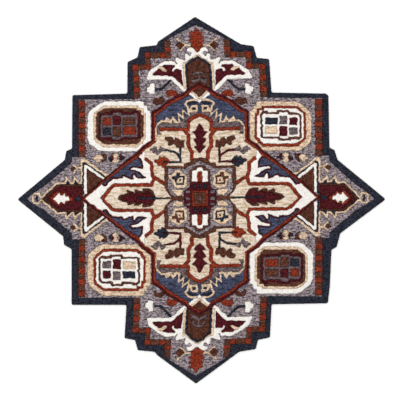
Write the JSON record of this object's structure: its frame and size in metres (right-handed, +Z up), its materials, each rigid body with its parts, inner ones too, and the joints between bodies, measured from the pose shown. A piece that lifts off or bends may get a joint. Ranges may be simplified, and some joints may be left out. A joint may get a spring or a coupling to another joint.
{
  "type": "area rug",
  "caption": "Star-shaped hand-tufted wool rug with stepped arms, a cross medallion on a jagged star, corner panels and a plain dark border.",
  "frame": {"origin": "centre of the pattern, on the underside that rests on the floor", "axes": "+Z up through the pile, +Y towards the top arm, +X towards the right arm"},
  "size_m": [1.8344, 1.8326, 0.0132],
  "materials": {
    "backing_cloth": "open plain-weave secondary backing cloth, matt",
    "binding_tape": "cotton twill binding tape, matt",
    "cotton_canvas": "woven cotton primary canvas, matt",
    "latex": "dried latex coat, dull",
    "wool_brown": "matt cut pile of mid brown wool yarn",
    "wool_cream": "matt cut pile of cream wool yarn",
    "wool_dark_brown": "matt cut pile of dark brown wool yarn",
    "wool_grey": "matt cut pile of warm grey wool yarn",
    "wool_heather": "matt cut pile of heather grey wool yarn",
    "wool_maroon": "matt cut pile of dark maroon wool yarn",
    "wool_navy": "matt cut pile of navy wool yarn",
    "wool_rust": "matt cut pile of rust red wool yarn",
    "wool_slate": "matt cut pile of slate blue-grey wool yarn",
    "wool_steel": "matt cut pile of grey wool yarn",
    "wool_tan": "matt cut pile of tan wool yarn",
    "wool_white": "matt cut pile of white wool yarn"
  },
  "bodies": {
    "root": {"backing_cloth": "backing_cloth", "binding_tape": "binding_tape", "canvas": "cotton_canvas", "latex_coat": "latex", "pile_arm_brown": "wool_dark_brown", "pile_arm_grey_scroll": "wool_grey", "pile_arm_navy_lines": "wool_navy", "pile_arm_tan": "wool_tan", "pile_arm_white": "wool_white", "pile_border_navy": "wool_navy", "pile_cell_brown": "wool_brown", "pile_cell_grey": "wool_grey", "pile_cell_maroon": "wool_maroon", "pile_cell_navy": "wool_navy", "pile_cell_rust": "wool_rust", "pile_centre_brown": "wool_brown", "pile_centre_grey": "wool_grey", "pile_centre_heather": "wool_heather", "pile_centre_maroon": "wool_maroon", "pile_centre_rust": "wool_rust", "pile_centre_tan": "wool_tan", "pile_centre_white": "wool_white", "pile_check_brown": "wool_brown", "pile_check_rust": "wool_rust", "pile_cream_ground": "wool_cream", "pile_crown_leaf_rust": "wool_rust", "pile_field_brown_hooks": "wool_dark_brown", "pile_field_heather": "wool_heather", "pile_field_rust_hooks": "wool_rust", "pile_field_tan_motifs": "wool_tan", "pile_flame_maroon": "wool_maroon", "pile_frame_maroon": "wool_maroon", "pile_frame_rust": "wool_rust", "pile_medallion_rust": "wool_rust", "pile_palmette_brown": "wool_dark_brown", "pile_palmette_maroon": "wool_maroon", "pile_panel_brown": "wool_brown", "pile_panel_grey_grid": "wool_steel", "pile_panel_maroon": "wool_maroon", "pile_panel_rust_ring": "wool_rust", "pile_panel_tan": "wool_tan", "pile_panel_white": "wool_white", "pile_side_brown": "wool_dark_brown", "pile_side_maroon": "wool_maroon", "pile_side_navy": "wool_navy", "pile_side_rust": "wool_rust", "pile_side_tan": "wool_tan", "pile_side_white": "wool_white", "pile_small_motifs_maroon": "wool_maroon", "pile_small_motifs_navy": "wool_navy", "pile_sprig_brown": "wool_dark_brown", "pile_sprig_grey": "wool_grey", "pile_sprig_rust": "wool_rust", "pile_star_heather": "wool_grey", "pile_star_slate": "wool_slate", "pile_star_tan": "wool_tan", "pile_star_white": "wool_white", "pile_wing_maroon": "wool_maroon"}
  },
  "joints": []
}
